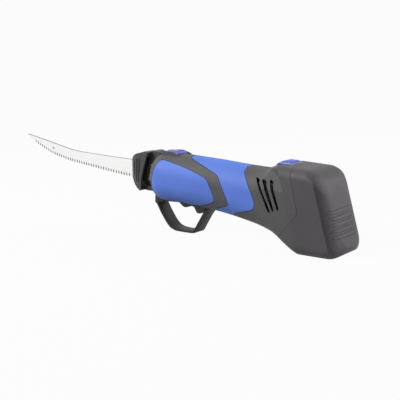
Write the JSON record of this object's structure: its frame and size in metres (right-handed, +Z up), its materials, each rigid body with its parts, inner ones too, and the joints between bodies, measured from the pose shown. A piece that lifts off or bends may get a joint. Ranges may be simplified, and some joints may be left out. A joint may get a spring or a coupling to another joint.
{
  "type": "electric fillet knife",
  "caption": "Cordless electric fillet knife with twin toothed blades in a pull-off clip, a trigger in a finger guard and a slide-off battery.",
  "frame": {"origin": "middle of the battery's flat foot, on the surface that the knife rests on", "axes": "+X from the blade tip towards the battery, level with the resting surface; +Y to the right of the person holding the knife; +Z up. The barrel's own axis is tipped 4.7 degrees, with its nose up."},
  "size_m": [0.4679, 0.05, 0.0967],
  "materials": {
    "dark_plastic": "fine-grained dark grey moulded plastic",
    "blue_plastic": "satin blue moulded plastic",
    "black_plastic": "satin black moulded plastic",
    "blade_steel": "ground stainless steel",
    "steel": "plain steel",
    "brass": "turned brass",
    "nylon": "natural nylon",
    "magnet": "ground ferrite",
    "cell_wrap": "shrink-wrapped metal can",
    "circuit_board": "green solder mask"
  },
  "bodies": {
    "housing": {"carrier_guide": "nylon", "control_board": "circuit_board", "front_grip_left": "blue_plastic", "front_grip_right": "blue_plastic", "gear_frame": "nylon", "housing_left": "dark_plastic", "housing_right": "dark_plastic", "housing_screw_1": "steel", "housing_screw_2": "steel", "housing_screw_3": "steel", "housing_screw_4": "steel", "housing_screw_5": "steel", "microswitch": "black_plastic", "motor_can": "steel", "motor_end_cap": "black_plastic", "motor_magnet_left": "magnet", "motor_magnet_right": "magnet", "nose_cap": "black_plastic", "rear_grip_left": "blue_plastic", "rear_grip_right": "blue_plastic", "release_bracket": "nylon", "release_spring": "steel", "switch_bezel": "dark_plastic", "switch_cradle": "nylon", "terminal_block": "black_plastic", "terminal_contact_1": "brass", "terminal_contact_2": "brass", "terminal_contact_3": "brass", "trigger_guard": "dark_plastic", "trigger_pin": "steel", "trigger_spring": "steel", "wheel_axle": "steel"},
    "rotor": {"motor_rotor": "steel", "worm": "brass"},
    "wheel": {"worm_wheel": "nylon"},
    "carrier_right": {"carrier_right": "nylon"},
    "carrier_left": {"carrier_left": "nylon"},
    "clip": {"blade_clip": "black_plastic"},
    "blade_right": {"blade_right": "blade_steel"},
    "blade_left": {"blade_left": "blade_steel", "blade_rivet": "steel"},
    "trigger": {"trigger": "black_plastic"},
    "slider": {"lock_off_slider": "blue_plastic"},
    "release": {"battery_release": "blue_plastic"},
    "battery": {"battery_case": "dark_plastic", "battery_front_cover": "black_plastic", "battery_cell_left": "cell_wrap", "battery_cell_right": "cell_wrap", "cell_holder": "nylon", "protection_board": "circuit_board"}
  },
  "joints": [
    {"name": "motor_spin", "type": "hinge", "parent": "housing", "child": "rotor", "pos_m": [-0.11476, 0, 0.05642], "axis": [0.9966, 0, -0.0819], "range_deg": [-1205, 1205]},
    {"name": "wheel_turn", "type": "hinge", "parent": "housing", "child": "wheel", "pos_m": [-0.11583, 0, 0.04347], "axis": [0, 1, 0], "range_deg": [-61, 61]},
    {"name": "carrier_right_slide", "type": "slide", "parent": "housing", "child": "carrier_right", "axis": [0.9966, 0, -0.0819], "range_m": [-0.0031, 0.0031]},
    {"name": "carrier_left_slide", "type": "slide", "parent": "housing", "child": "carrier_left", "axis": [0.9966, 0, -0.0819], "range_m": [-0.0031, 0.0031]},
    {"name": "clip_pull", "type": "slide", "parent": "housing", "child": "clip", "axis": [-0.9966, 0, 0.0819], "range_m": [0, 0.03]},
    {"name": "blade_right_slide", "type": "slide", "parent": "clip", "child": "blade_right", "axis": [0.9966, 0, -0.0819], "range_m": [-0.00303, 0.00303]},
    {"name": "blade_left_slide", "type": "slide", "parent": "clip", "child": "blade_left", "axis": [0.9966, 0, -0.0819], "range_m": [-0.0031, 0.0031]},
    {"name": "trigger_squeeze", "type": "hinge", "parent": "housing", "child": "trigger", "pos_m": [-0.16552, 0, 0.03702], "axis": [0, -1, 0], "range_deg": [0, 7], "stiffness_Nm_per_rad": 0.6, "springref_deg": -5.73, "deforming": ["trigger_spring"]},
    {"name": "lock_off_slide", "type": "slide", "parent": "housing", "child": "slider", "axis": [0.9966, 0, -0.0819], "range_m": [0, 0.004]},
    {"name": "release_press", "type": "slide", "parent": "housing", "child": "release", "axis": [-0.0819, 0, -0.9966], "range_m": [0, 0.0025], "stiffness_N_per_m": 1200, "springref_m": -0.002, "deforming": ["release_spring"]},
    {"name": "battery_slide", "type": "slide", "parent": "housing", "child": "battery", "axis": [1, 0, 0], "range_m": [0, 0.04]}
  ],
  "couplings": [
    {"joint": "motor_spin", "follows": "blade_right_slide", "rad_per_m": -6910.9},
    {"joint": "wheel_turn", "follows": "blade_right_slide", "rad_per_m": 345.54},
    {"joint": "carrier_right_slide", "follows": "blade_right_slide", "ratio": 1},
    {"joint": "carrier_left_slide", "follows": "blade_right_slide", "ratio": -1},
    {"joint": "blade_left_slide", "follows": "blade_right_slide", "ratio": -1}
  ]
}
